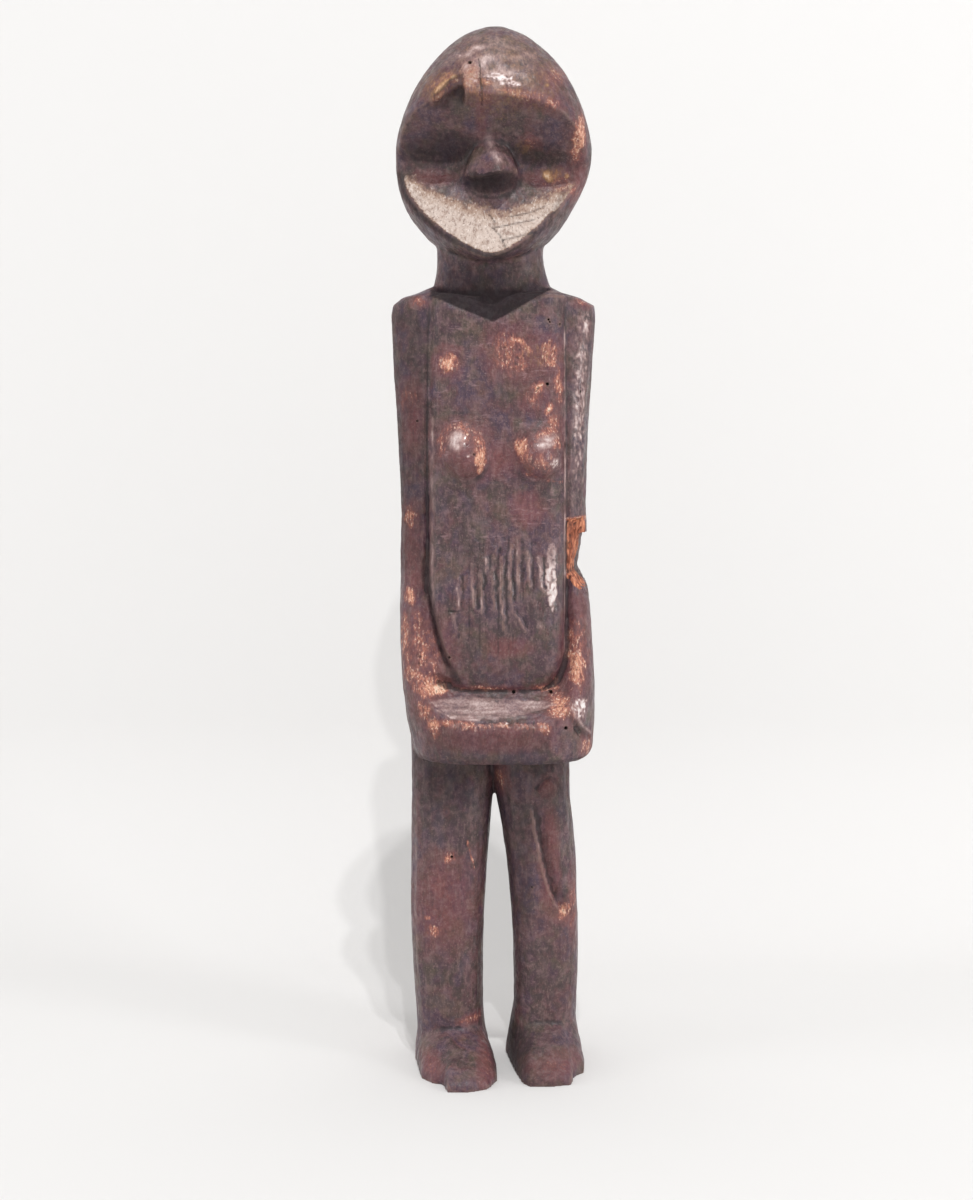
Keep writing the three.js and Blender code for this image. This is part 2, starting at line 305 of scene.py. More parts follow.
# tool marks: broad unevenness, single strokes of the adze, long strokes on the legs, fibres and roughness
BOARD_X, BOARD_Z = (-37, 41), (245, 466)
place, facing, x, y, z = survey()
front = step(-facing[:, 1], 0.05, 0.35)
panel = window(x, *BOARD_X, 3) * window(z, *BOARD_Z, 6) * front * step(-y, 14, 20)
hollow = window(x, -55, 53, 3) * window(z, 503, 590, 4) * front * step(y, -31, -24)
soles = step(z, 1.2, 4)
plain = 1 - most(0.8 * panel, 0.75 * hollow)
leg = (1 - step(z, 186, 200)) * soles
back = step(facing[:, 1], 0.1, 0.5)
depth = 0.4 * cloud(place, (15, 15, 36), 1) * plain + 0.16 * cloud(place, (5, 5, 8), 2) * soles
depth -= 0.4 * (scallops(place, (9, 9, 19), 1) - 0.4) * plain * soles * (0.75 + 1.2 * back)
depth += 0.45 * cloud(place, (7, 7, 75), 3) * leg
depth += 0.16 * np.abs(cloud(place, (2.2, 2.2, 20), 4)) * plain * soles
depth += 0.1 * cloud(place, (2.4, 2.4, 2.4), 5) * soles
carve(depth)
rub_down(1)


# Head: the egg with its hollow face, all of the same wood. A crack runs from the dome down the roof of the hollow,
# the brow's edge is knocked flat beside it, and the clay on the lower plane has fine cracks of its own.

place, facing, x, y, z = survey()
front = step(-facing[:, 1], 0.05, 0.35)
HEAD_CRACK = [(-8.8, 615.5), (-7.6, 610), (-7.8, 604), (-7.0, 598), (-6.6, 592), (-6.8, 582), (-6.4, 572)]
CLAY_CRACKS = [
    [(-2.5, 526), (0.5, 522), (-0.2, 517.5), (12, 520), (24, 522.5)],
    [(-0.2, 517.5), (4, 513), (5.2, 510.2), (14, 512), (25, 515)],
    [(5.2, 510.2), (7.5, 505)],
    [(10, 524.5), (22, 527), (31, 531)],
]
CHIN_EDGE = [
    (-57, 552), (-53, 538.5), (-44.4, 526.6), (-33, 516.4), (-19.4, 507.4), (-6.2, 501), (1.6, 500), (11.4, 503.6),
    (21.8, 510.4), (29.4, 518.6), (36.8, 527.6), (41.8, 539),
]
CLAY_TOP = 540
depth = 0.2 * along_line(place, HEAD_CRACK, 1.6) * front * step(y, -40, -10)
depth += 0.35 * oval(place, (10, 597), (10, 2.5), -10) * front
for line in CLAY_CRACKS:
    depth += 0.4 * along_line(place, line, 1.2) * front * (z < CLAY_TOP)
depth += 0.6 * along_line(place, CHIN_EDGE, 1.6) * (facing[:, 1] < 0.2)
clay_plane = front * (1 - step(z, 536, 545)) * step(z, 499, 506) * (y > -32)
depth += 0.1 * cloud(place, (1.6, 8, 12), 5) * clay_plane
brow = window(z, 586, 612, 5) * front * (y < -20)
depth += 0.5 * np.abs(cloud(place, (3.6, 3.6, 2.8), 6)) * brow
carve(depth)
place = points_of()
x, y, z = place.T
soften(window(x, -22, 20, 3) * window(z, 536, 574, 3) * window(y, -28, -1, 2) * 0.9, 8)


# Trunk: a raised board of the same wood, with breasts and belly. It was finished with a flat chisel worked across
# the chest and down the belly, and its worn places are rough.

place, facing, x, y, z = survey()
front = step(-facing[:, 1], 0.2, 0.5)
board = front * window(x, -38, 42, 2) * (y < -17)
# the breasts stand a little higher than in the block, the right one more
depth = -3.0 * oval(place, (25, 385.5), (19, 19)) ** 1.3 * board
depth -= 1.8 * oval(place, (-17, 387), (19, 19)) ** 1.3 * board
tilted = np.stack([x, y, z + 0.12 * x + 1.5 * np.sin(x / 9)], axis=1)
depth += 0.3 * cloud(tilted, (16, 40, 2.4), 7) * window(z, 325, 376, 10) * board
depth += 0.22 * cloud(tilted, (14, 40, 3.0), 8) * window(z, 392, 452, 10) * board
belly = board * window(z, 268, 330, 12) * window(x, -24, 30, 6)
depth += 1.1 * np.abs(cloud(place, (2.6, 40, 30), 9)) * belly
depth += 0.35 * cloud(place, (1.5, 40, 9), 10) * belly
RIDGES = [
    [(11.2, 329), (9.8, 322), (9.7, 310), (10.6, 298), (12.4, 289), (16, 283), (19.6, 277)],
    [(1.2, 327), (-0.9, 313), (0, 304), (0, 291)], [(-3.9, 321), (-4.2, 313)], [(14.8, 333), (14.8, 292)],
    [(27.3, 321), (29, 313), (27.8, 308), (28.3, 304), (30.4, 301)], [(-21.4, 310), (-20.9, 303), (-21.4, 290)],
    [(-23.6, 287), (-23.2, 274)], [(-12.6, 318), (-12.2, 292)], [(-7.5, 312), (-7, 288)], [(21, 330), (22, 304)],
    [(5, 322), (4.4, 300), (6.6, 279)],
]


def wavering():
    """The points' places, shifted a little to the side in waves, so that a straight line through them wavers"""
    return np.stack([x + 0.7 * cloud(place, (30, 30, 4.5), 41), y, z], axis=1)


wavy = wavering()
for ridge in RIDGES:
    depth -= 0.8 * along_line(wavy, ridge, 2.0) * board
    depth += 0.6 * along_line(wavy, [(px + 2.8, pz) for px, pz in ridge], 2.2) * board
NICK = [(-27, 289.4), (-20.5, 289)]
depth += 0.8 * along_line(place, NICK, 1.3) * board
ripples = board * oval(place, (34, 303), (9, 34)) ** 0.5
depth += (0.5 * cloud(place, (7, 7, 2.4), 11) + 0.5 * np.abs(cloud(place, (2.6, 9, 13), 24))) * ripples
# scraped places: middle and half sizes in mm as seen from the front, and turn in degrees
SCRAPED = [
    ((11, 442), (10, 14), 30), ((31.5, 443), (7, 8), -30), ((25, 423.7), (6, 4), 0), ((33.8, 411), (4.5, 6), 0),
]
slanting = np.stack([x + 0.7 * z, y, z], axis=1)
for middle, half, turn in SCRAPED:
    scraped = oval(place, middle, half, turn) ** 0.6
    depth += 1.2 * (np.abs(cloud(place, (1.6, 9, 3.4), 12)) * scraped) * board
    depth += 0.8 * np.abs(cloud(slanting, (2.2, 9, 7), 44)) * scraped * board
depth += 0.6 * oval(place, (-25.6, 438.9), (5.5, 6)) * board * (0.5 + np.abs(cloud(place, (2, 9, 2), 13)))
carve(depth)


def corner_edge(z):
    """The x of the board's edge above its lower left corner, which is cut off along a curve"""
    return np.interp(z, [240, 246.7, 257, 266, 276, 286, 295, 310], [-16, -21, -26.4, -30, -32.8, -35, -37, -40])


# outside that curve the wood is cut down to the level of the forearm beside it
place, facing, x, y, z = survey()
corner_x = corner_edge(z)
arm_y = np.interp(z, [245, 256, 271, 285, 296, 304], [-29.5, -26, -22.8, -20.5, -18.5, -17])
arm_y = arm_y + 1.1 * step(x - corner_x, -4, -0.6) + 0.5 * cloud(place, (2.4, 9, 3), 45)
CORNER_Z = (250, 296)
share = (1 - step(x - corner_x, -1.2, 0.2)) * step(x, -48, -44) * window(z, *CORNER_Z, 5)
share *= (facing[:, 1] < 0.1) * step(-y, 8, 12)
place[:, 1] += share * (arm_y - y)
move_to(place)
soften(window(x - corner_x, -14, -3, 2) * window(z, *CORNER_Z, 5) * (facing[:, 1] < 0.3) * (y < -8), 6)
place = points_of()
x, y, z = place.T
soften(window(x, -47, -24, 3) * window(z, 239, 253, 4) * step(-y, 12, 17), 24)
under = window(z, 360, 404, 4) * window(x, *BOARD_X, 2) * step(-y, 12, 17)
soften(0.75 * under, 16)


# Arms: two flat rails of the same block beside the board. The right one is snapped below its middle: a flake has
# gone from its front under a cross crack, and a bite from its side, which shows torn orange wood above a stump.

place, facing, x, y, z = survey()
front = step(-facing[:, 1], 0.0, 0.4)
right_arm = step(x, 45, 48)
left_arm = 1 - step(x, -42, -39)
trunk = window(z, 245, 470, 6)
RIDGE_Z = (345, 466)
ridge = window(x, 49, 57, 2) * window(z, *RIDGE_Z, 6) * front
depth = (0.35 * np.abs(cloud(place, (3, 3, 9), 14)) + 0.2 * cloud(place, (4, 4, 2.6), 25)) * ridge
depth += 0.25 * np.abs(cloud(place, (5, 5, 5.5), 15)) * (right_arm + left_arm) * trunk
left_elbow = (x < corner_x - 1) * (x < -25) * window(z, 246, 300, 8) * front
depth += 0.7 * np.abs(cloud(place, (2.4, 2.4, 4.2), 16)) * left_elbow


def beyond(place, corner, other, third):
    """How many mm a point lies from the flat face through three corners"""
    a, b, c = (np.array(p, float) for p in (corner, other, third))
    across = np.cross(b - a, c - a)
    return (place - a) @ (across / np.linalg.norm(across))


TORN_FACES = [
    [(44, -14, 343), (64, -5.5, 343), (44, -12.5, 311)],
    [(44.7, -57.5, 335), (57.8, 32.5, 335), (40.2, -57.5, 312)],
    [(40.2, -57.5, 312), (53.3, 32.5, 312), (76, 32.5, 282)],
]


def near_break(height, spans, close, soft, inner):
    """1 on each torn face between its span of heights, falling to 0 over the distances in close"""
    return most(*(
        (1 - step(np.abs(beyond(place, *corners)), *close)) * window(height, *span, soft) * step(x, 43.5, inner)
        for corners, span in zip(TORN_FACES, spans)
    ))


torn = near_break(z, ((306, 345), (311, 336), (296, 313)), (0.9, 2.0), 1.5, 45)
OUTER_SIDE = 62
torn *= step(-y, -30, -20) * (x < OUTER_SIDE)
depth += (1.6 * np.abs(cloud(place, (1.5, 1.5, 13), 17)) + 0.5 * cloud(place, (1, 1, 3), 18)) * torn
depth += 0.9 * along_line(place, [(43, 343.6), (50, 343.2), (59, 344.2)], 1.3) * front * right_arm
carve(depth)


# Hem and ledge: where hands would be, the front widens to a thick ledge round the foot of the board. Its upper edge
# is splintered by long use, and the face below is left from the adze.

def lip_height(x):
    """The z of the ledge's front edge, which rises a little at both ends"""
    return 222.5 + 0.5 * np.sin(x / 7) + 1.5 * step(np.abs(x - 3), 30, 45)


place, facing, x, y, z = survey()
front = step(-facing[:, 1], 0.1, 0.5)
hem = window(z, 198, 226, 3) * window(x, -48, 58, 3)
lip = lip_height(x)
teeth = np.clip(cloud(place, (2.0, 30, 30), 19) + 0.6 * cloud(place, (5.5, 30, 60), 20) + 0.25, 0, 1)
fall = 3.5 + 3.5 * cloud(place, (9, 40, 40), 21)
ragged = teeth * window(z, 0, 300, 1) * step(z, lip - 4 - fall, lip - 1) * (1 - step(z, lip + 1.0, lip + 3))
depth = 1.5 * ragged * window(x, -43, 38, 4) * (y < -28) * front
depth += 0.5 * np.abs(cloud(place, (5.5, 9, 14), 22)) * hem * front * (z < 220)
ledge = window(z, 225, 240, 3) * window(x, -40, 42, 3) * (facing[:, 2] > 0.4)
depth += 0.25 * np.abs(cloud(place, (14, 3, 3), 23)) * ledge
depth += 0.5 * along_line(place, [(-8, 225.4), (8, 225.0), (27, 226)], 0.9) * (facing[:, 2] > 0.3)
carve(depth)


# Legs and feet: two thick posts of the same block, squared with the adze and hardly rounded. A flake has come off
# the front of the right one and left a long hollow with a sharp left edge.

place, facing, x, y, z = survey()
front = step(-facing[:, 1], 0.1, 0.5)
SCAR_Z = [98, 106, 114, 124, 134, 146, 158, 166, 170]
SCAR_X = [42.5, 38.6, 35, 32, 29.6, 27.2, 25.6, 23.8, 24.5]
inward = x - np.interp(z, SCAR_Z, SCAR_X) + 0.5 * cloud(place, (40, 40, 7), 26)
scar = step(inward, -0.4, 1.0) * (1 - step(inward, 3.5, 13)) * step(z, 97, 112) * (1 - step(z, 160, 176))
depth = 2.4 * scar * (1 + 0.3 * cloud(place, (3, 9, 14), 27)) * front
depth -= 0.7 * step(inward, -3.5, -0.3) * (1 - step(inward, -0.3, 0.6)) * window(z, 104, 160, 6) * front
depth += 1.2 * along_line(place, [(27, 178.5), (31, 183.5), (36, 185), (40, 181), (41, 175)], 2.2) * front * (y < -5)
depth += 0.5 * np.abs(cloud(place, (9, 9, 26), 28)) * window(z, 25, 190, 8) * (x > 5) * front
depth += 0.45 * along_line(place, [(-17.3, 145), (-15, 136), (-13, 127.5)], 1.2) * front
depth += 0.6 * oval(place, (-29, 133), (4, 3.6)) * np.abs(cloud(place, (1.6, 5, 1.6), 29)) * front
carve(depth)


# Wormholes and the open crack: beetles left round holes, and the block split at the brow as it dried. Both are
# narrower than the skin's faces, so the faces round them are divided first.

# x and z of each hole's middle, and its radius
WORMHOLES = [
    (32.5, 425.2, 0.9), (33.1, 463.5, 0.6), (40.0, 461.0, 0.6), (-11.2, 383.1, 0.5), (33.8, 462, 0.5),
    (12.5, 239.2, 1.0), (35.1, 239.3, 1.0), (43.8, 219.4, 1.0), (-25.4, 135.3, 0.8), (-26.5, 261, 0.7),
    (-46, 403, 0.5), (24, 116, 0.5), (-13.8, 613.5, 0.9), (52.8, 421, 0.5),
]
place, facing, x, y, z = survey()
near = along_line(place, HEAD_CRACK, 1.3) * (y < -8)
near = most(near, *(np.hypot(x - hx, z - hz) < radius + 1.0 for hx, hz, radius in WORMHOLES))
near *= facing[:, 1] < -0.1
alone(figure)
bpy.ops.object.mode_set(mode="EDIT")
bpy.ops.mesh.select_mode(type="VERT")
bpy.ops.mesh.select_all(action="DESELECT")
bpy.ops.object.mode_set(mode="OBJECT")
figure.data.vertices.foreach_set("select", near > 0)
bpy.ops.object.mode_set(mode="EDIT")
bpy.ops.mesh.subdivide(number_cuts=2)
bpy.ops.object.mode_set(mode="OBJECT")
place, facing, x, y, z = survey()
front = facing[:, 1] < -0.1
HOLE_DEPTH = 3.0
depth = 0.5 * (along_line(place, HEAD_CRACK, 0.4) > 0) * front * (z > 588)
for hx, hz, radius in WORMHOLES:
    depth += HOLE_DEPTH * (1 - step(np.hypot(x - hx, z - hz), radius * 0.75, radius)) * front
carve(depth)


# The finished skin: the carving is one closed surface, with the finest faces in front. It is thinned at the back and
# sides, which are plainer, kept to the block's own size, and set flat on its soles.

MOST_FACES = 190000
SOLE = 0.5
behind = step(points_of("normal")[:, 1], -0.35, 0.25)
group = figure.vertex_groups.new(name="thin")
for level in range(1, 11):
    rows = np.nonzero(np.round(behind * 10) == level)[0].tolist()
    if rows:
        group.add(rows, level / 10, "REPLACE")
apply_to(figure, "TRIANGULATE")
share = min(1.0, MOST_FACES / len(figure.data.polygons))
apply_to(figure, "DECIMATE", ratio=share, vertex_group="thin", vertex_group_factor=1e-5)
figure.vertex_groups.clear()
low, high = (np.array(corner) * MM for corner in cad_box)
place = np.clip(points_of(), low, high)
place[place[:, 2] < SOLE, 2] = 0
move_to(place)
alone(figure)
bpy.ops.object.shade_smooth()


# Wear, stain and painted light: handling has taken the dark patina off high places, down to reddish wood and then to
# pale bare wood, and shade and highlights are painted on besides. Each kind is kept as a value at every point, which
# the wood's material reads.

place, facing, x, y, z = survey()
front = step(-facing[:, 1], -0.1, 0.2) * step(-y, -25, -15)
rear = step(y, 12, 24)


def keep(name, values):
    """Stores one value for each point of the figure under a name"""
    store = figure.data.attributes.new(name, "FLOAT", "POINT")
    store.data.foreach_set("value", np.clip(values, 0, 1).astype(np.float32))


# how far each point stands out of the wood round it: near by, and more broadly. Where the skin is thinned, its points
# lie further apart, and the measure is brought down to match.
FINE_SPACING = 1.5
one, other, count = neighbours()
lengths = np.linalg.norm(place[one] - place[other], axis=1)
spacing = (np.bincount(one, lengths, len(place)) + np.bincount(other, lengths, len(place))) / count
even = np.minimum(1, (FINE_SPACING / averaged(spacing, 4)) ** 2)
bulge = np.sum((place - averaged(place, 6)) * facing, axis=1) * even
broad = np.sum((place - averaged(place, 24)) * facing, axis=1) * even
keep("edge", step(averaged(np.maximum(bulge, 0), 1), 0.08, 0.4))
# the hollows are darkened in the wood's colour as painted shade
keep("cavity", 0.5 * step(-bulge, 0.05, 0.3) + 0.6 * step(-broad, 0.15, 0.9))

# painted shade and shadow, from the head down to the feet: the head's shadow in the collar and under the chin, shade in
# the roof of the hollow, under the nose, in the brow's chip, in the groove at the board's lower left corner and in the
# chop, the hem's shadow on the legs, and shade on the right leg's and foot's left sides and in the scar's hollow; along
# the chin's edge, on the left arm and on the hem's face the wood is only made darker
v_line = np.interp(x, [-37, -1, 1, 34], [477, 462.4, 462.4, 481.2])
collar = step(z - v_line, -0.5, 0.7) * (1 - step(z, 480, 487)) * window(x, -37, 34, 2) * (y < 0)
under_chin = (1 - step(z, 482, 506)) * step(z, 474, 478) * (1 - step(np.abs(x - 1), 26, 33)) * (y < 5)
under_chin *= 0.72 - 0.42 * step(x, -4, 16) * step(z, 482, 490)
chin_edge = 0.72 * along_line(place, CHIN_EDGE, 2.4) ** 0.6 * (1 - 0.45 * step(x, 4, 12))
roof = step(-facing[:, 2], 0.1, 0.4) * window(z, 552, 600, 2) * window(x, -56, 51, 2) * (facing[:, 1] < -0.3)
deep = 0.55 * oval(place, (-30, 564), (28, 12)) ** 0.5 + 0.4 * oval(place, (25, 562), (20, 8)) ** 0.5
under_nose = oval(place, (-1.3, 546), (17.5, 7.6)) ** 0.35 * (facing[:, 2] < 0.3)
chip_top = np.interp(x, [-36, -24, -17], [594, 606, 607.5])
chip = step(chip_top - z, 0.0, 1.2) * step(z, 585, 588) * window(x, -35, -17.5, 0.8) * (facing[:, 1] < -0.1)
left_arm = (1 - step(x, -44, -40)) * window(z, 320, 462, 16)
corner = window(x - corner_edge(z), -2.4, 0.4, 2.2) * window(z, 247, 318, 7)
chop = along_line(place, [(45, 228), (51, 219.5), (59, 211)], 2.6)
hem = window(z, 196, 215, 4) * window(x, -36, 30, 8)
legs = 0.42 * step(z, 140, 196) + 0.2 * step(z, 165, 168) * window(x, -38, -16, 3) * (1 - step(z, 186, 196))
legs = most(legs, 0.4 * step(z, 60, 110) * window(x, 10, 22, 5)) * (z < 200) * step(-y, -10, 10)
scar_inward = x - np.interp(z, SCAR_Z, SCAR_X)
scar = step(scar_inward, 0, 2) * (1 - step(scar_inward, 4, 9)) * window(z, 106, 146, 12) * (y < 0)
foot = (0.2 + 0.3 * (1 - step(x, 19, 25))) * (1 - step(z, 22, 30)) * step(x, 3, 6) * (1 - step(x, 40, 50))
painted_shade = most(
    collar, under_chin, chin_edge, roof * (0.22 + deep), under_nose, 0.62 * chip, 0.38 * left_arm * front,
    0.62 * corner * front, 0.55 * chop * front, 0.3 * hem * front, legs, 0.5 * scar, foot,
)
keep("shaded", painted_shade * step(-y, -22, -8))

# places worn bare, as seen from the front. Each row: x and z of its middle, half its width and height in mm, how far
# it is worn, and its turn in degrees if it has one.
BARE = [
    # head: dome, chipped brow, gold flecks, right brow, right rim, right cheek
    (-13, 606, 8, 13, 0.68), (-13, 602, 5, 5, 0.66), (-4, 601, 6, 3.5, 0.7, -8), (8, 596.6, 10, 2.4, 0.62, -10),
    (-5, 593, 7, 6, 0.46), (-31.5, 594.5, 6, 2.6, 0.8, 38), (-22, 602.5, 3, 2.4, 0.7), (-29, 601, 11, 7, 0.5, 34),
    (20, 593.5, 16, 5, 0.52, -10), (34, 589, 8, 5, 0.46, -35), (51, 571, 5, 17, 0.74, -8),
    (33, 549.5, 3, 4.4, 0.7, 25), (44.5, 549.6, 2, 2, 0.76), (39, 548, 12, 6, 0.46, 5), (41, 542, 8, 2, 0.56, 26),
    (48, 541, 4, 6, 0.46), (36, 606, 7, 10, 0.42, -40), (22, 568, 6, 4, 0.42, -10),
    # chest
    (-45.1, 473.6, 5, 3, 0.6), (-27, 437.5, 8, 8.5, 0.62), (-27, 437, 4.6, 5.4, 0.86),
    (11.2, 443.5, 14, 17, 0.46, 25), (15, 451, 7, 2.4, 0.68, -25), (9, 438, 7, 2.6, 0.58, 45),
    (18, 437, 3, 6, 0.6, 20), (21, 446, 6, 2.2, 0.64, -40), (32.5, 443, 9, 10, 0.54, -25),
    (35, 438, 4.5, 2.2, 0.68, -35), (31, 449, 5, 2, 0.56, 20), (27.5, 423, 6, 5.4, 0.6, 35),
    (27.5, 423.5, 3.4, 3, 0.84, 20), (33.6, 410, 5, 5.4, 0.64, -30), (33.6, 410, 3.4, 3, 0.9, -30),
    (39, 424, 3.5, 14, 0.56), (36, 403, 5, 6, 0.5), (25, 416, 8, 8, 0.42),
    # breasts
    (-19.5, 395, 15, 9, 0.48), (-9, 388, 5.5, 14, 0.5, 12), (-7.6, 380, 4, 10, 0.84), (-31, 390, 3.4, 10, 0.5),
    (16.6, 388, 5, 7.4, 0.78, -10), (31, 395, 11, 4.4, 0.56, 28), (27, 379, 14, 9, 0.42), (20, 384, 6, 8, 0.5),
    (37, 390, 5, 6, 0.56, 30),
    # arms
    (-51.4, 417, 7, 10, 0.34), (-50.5, 345.5, 5, 8, 0.6), (54, 474, 6, 3.4, 0.5), (-50.5, 297, 5, 8, 0.74),
    (-53.5, 272, 4, 22, 0.54), (-43.5, 268, 7, 26, 0.48, 8), (-47.5, 250, 9, 8, 0.6), (-41, 262, 14, 26, 0.38),
    (51, 262, 9, 30, 0.44), (50.6, 256, 6, 15, 0.76), (50.4, 252, 4, 5, 0.76), (47, 268, 3.4, 20, 0.48),
    # ledge and hem
    (-33.4, 241.6, 7.4, 4.6, 0.96, -12), (-39, 243, 12, 9, 0.66), (-36, 220, 5, 10, 0.66, 8),
    (-42, 229, 6, 9, 0.56, 20), (-15, 221, 4, 5, 0.56), (-26, 222.6, 12, 3, 0.52), (31, 220, 7, 4, 0.6, -35),
    (40, 232, 9, 10, 0.68), (31, 241.4, 8, 2.4, 0.66), (57.3, 206, 5, 9, 0.52), (-8, 241.4, 22, 2, 0.52),
    (38, 244, 3, 6, 0.6), (47, 228, 6, 8, 0.5),
    # legs and feet
    (-27, 134.5, 5.4, 4.6, 0.56), (-27.5, 134.6, 2.4, 2.4, 0.72), (-40.6, 96.4, 3, 2.6, 0.66),
    (-36.8, 88, 5, 5, 0.54, -30), (43.5, 100, 6.4, 7, 0.66, 25), (43.4, 99.4, 4.2, 3.6, 0.84, -30),
    (50, 104, 3, 22, 0.42), (4.5, 184, 5, 10, 0.42), (-14.5, 31, 8, 3, 0.5, 10), (-4, 12, 5, 11, 0.24),
    (-38, 8, 6, 7, 0.26), (-30, 105, 16, 26, 0.2), (38, 10, 14, 6, 0.2),
]
# worn lines: x and z of their corners, how wide and how far worn
WORN_LINES = [
    ([(20, 371.5), (27, 369.6)], 1.4, 0.4), ([(33, 367.6), (42, 366.4)], 1.4, 0.4),
    ([(-15.8, 145), (-13.6, 136), (-11.6, 127.8)], 1.0, 0.56), ([(45, 344), (58, 344.4)], 1.8, 0.72),
]
# behind, only the corners are worn
REAR_WORN = [
    (-50, 474, 8, 5, 0.62), (52, 472, 7, 8, 0.58), (-8, 214, 26, 5, 0.5), (42, 220, 10, 8, 0.56),
    (-50, 232, 6, 16, 0.54), (2, 575, 20, 24, 0.42), (-28, 9, 10, 6, 0.52), (31, 11, 9, 7, 0.52),
    (-24, 452, 12, 14, 0.44), (28, 440, 10, 16, 0.42),
]
# the patches' outlines wander a little
stray = np.stack([1.6 * cloud(place, (4, 4, 4), seed) for seed in (31, 32, 33)], axis=1)


def patches(rows, shift=0, power=0.7):
    """The strongest of many ovals at each point, from rows like those above"""
    return most(*(
        amount * oval(place + shift, (cx, cz), (wide, high), *turn) ** power
        for cx, cz, wide, high, amount, *turn in rows
    ))


worn_lines = most(*(amount * along_line(place, line, wide) ** 0.5 for line, wide, amount in WORN_LINES))
# the splintered edge under the ledge
lip = lip_height(x)
teeth = step(cloud(place, (1.7, 30, 14), 19) + 0.5 * cloud(place, (6, 30, 60), 20), -0.25, 0.35)
low_lip = lip - 3.4 - 2.6 * cloud(place, (5, 40, 40), 21)
splinters = (0.36 + 0.3 * teeth) * (0.65 + 0.35 * step(cloud(place, (6, 30, 30), 55), -0.35, 0.2))
splinters *= step(z, low_lip - 1.5, low_lip + 1) * (1 - step(z, lip - 0.4, lip + 1.2))
splinters *= window(x, -24, 33, 4) * (y < -28)
keep("bare", most(patches(BARE, stray), worn_lines, splinters) * front + patches(REAR_WORN, 2 * stray) * rear)

# reddish stain lies soft and broad in these places, and in a ring round each worn one
STAINED = [
    (18, 440, 24, 22), (-49, 400, 9, 28), (-49, 320, 9, 40), (10, 267, 18, 8), (-47, 255, 10, 40), (50, 245, 9, 26),
    (-13, 606, 9, 16), (0, 213, 50, 10), (-32, 115, 14, 26), (24, 593, 20, 10), (36, 117, 8, 26), (35, 140, 8, 34),
    (34, 180, 8, 10), (-38, 10, 7, 8), (37, 12, 10, 8), (20, 350, 14, 14), (-5, 380, 40, 14), (52, 540, 8, 30),
    (-19, 388, 18, 17), (27, 385, 16, 16), (-36, 549, 17, 7), (28, 549, 12, 6), (-7, 590, 5, 26), (4, 186, 6, 12),
]
ROUND_BARE = [(cx, cz, 1.5 * wide, 1.5 * high, 0.7, *turn) for cx, cz, wide, high, worn, *turn in BARE]
stain = most(patches(ROUND_BARE, stray), *(0.8 * oval(place, (cx, cz), half) for cx, cz, *half in STAINED))
rear_stain = 0.6 * step(cloud(place, (26, 26, 40), 58), 0.0, 0.4)
keep("stain", stain * front + rear_stain * rear)

# yellow wood shows in a few spots round the hollow
GOLD = [
    (4, 608, 44, 34, 0.4), (-36, 600, 12, 16, 0.36, 20), (33, 549.5, 3.4, 5.4, 0.86, 25),
    (44.5, 549.6, 2.2, 2.2, 0.6), (36, 551, 10, 6, 0.4), (18, 566, 7, 5, 0.42, -20), (-31, 599, 9, 3, 0.8, 40),
    (-30, 606, 7, 6, 0.4), (-23.5, 604.6, 3, 1.6, 0.8, 30), (31.5, 600, 2, 1.6, 0.7), (26, 443, 12, 12, 0.3),
]
keep("gold", patches(GOLD, power=0.6) * front)

# pale clay, rubbed into the lower plane of the face
ARC_X = [-57, -43.5, -31.3, -18.7, -5.5, 4.4, 16.6, 27.5, 36.5, 43.7, 56]
ARC_Z = [556, 545.4, 538.8, 533.7, 530, 528.1, 531.1, 536.1, 540.1, 542.5, 550]
lower = step(facing[:, 2], 0.25, 0.4) * (z < 552) * (z > 497) * (np.abs(x) < 58) * front
lower = step(averaged(lower, 5), 0.5, 0.85)
fade = np.interp(x, ARC_X, ARC_Z) - z + 2.5 * cloud(place, (5, 5, 5), 37)
clay = 0.2 * step(fade, -13, -2) + 0.2 * step(fade, -3, 1.5) + 0.32 * step(fade, 0, 6) + 0.28 * step(fade, 3, 12)
keep("clay", lower * clay)

# torn wood in the break, and the dark of holes and cracks
frayed = z + 3.0 * cloud(place, (4, 4, 30), 56)
torn = near_break(frayed, ((306, 344), (308, 336), (303, 313)), (2.0, 3.2), 2, 46)
aged = step(y + 7 * cloud(place, (20, 20, 7), 57), 2, 18)
keep("torn", torn * (x < OUTER_SIDE) * (1 - aged))
pit = most(
    along_line(place, HEAD_CRACK, 0.8) * (0.6 - 0.35 * step(-z, -598, -590)),
    0.4 * along_line(place + stray, [(26.4, 179), (30, 184), (35, 185.5), (40, 181), (41.5, 176)], 2.6),
    0.6 * along_line(place, NICK, 1.0),
    *(1 - step(np.hypot(x - hx, z - hz), radius * 0.9, radius * 1.35) for hx, hz, radius in WORMHOLES),
    *(0.68 * along_line(place, line, 0.8) * (z < CLAY_TOP) for line in CLAY_CRACKS),
)
keep("pit", pit * front)

# polish: the most handled places shine
POLISHED = [
    (-19, 390, 9, 9), (30, 382, 10, 10), (33, 300, 11, 32), (53, 420, 6, 50), (51, 226, 9, 10), (0, 310, 30, 34),
    (35.5, 379, 4, 4),
]
keep("polish", most(*(oval(place, (cx, cz), half) ** 0.7 for cx, cz, *half in POLISHED)) * front)

# painted highlights and dust: painted highlights on the dome, the brow, the nose, the breasts, the belly, the hem's
# corner and along edges, and on the ledge, which faces up, grey dust together with painted top light. On the ledge it
# ends in two ragged edges.
top_edge = np.interp(x, [-39, -20, 7, 35.5, 41], [236, 238, 236.7, 235.4, 233]) + 0.9 * cloud(place, (6, 90, 90), 34)
low_edge = np.interp(x, [-37, -26, -14.5, 7, 25, 35.5, 41], [233, 224.8, 224, 224.5, 228, 231, 233])
low_edge += 0.7 * cloud(place, (5, 90, 90), 35)
on_ledge = step(top_edge - z, 0, 2) * step(z - low_edge, -0.3, 0.9) * window(x, -38, 40, 1)
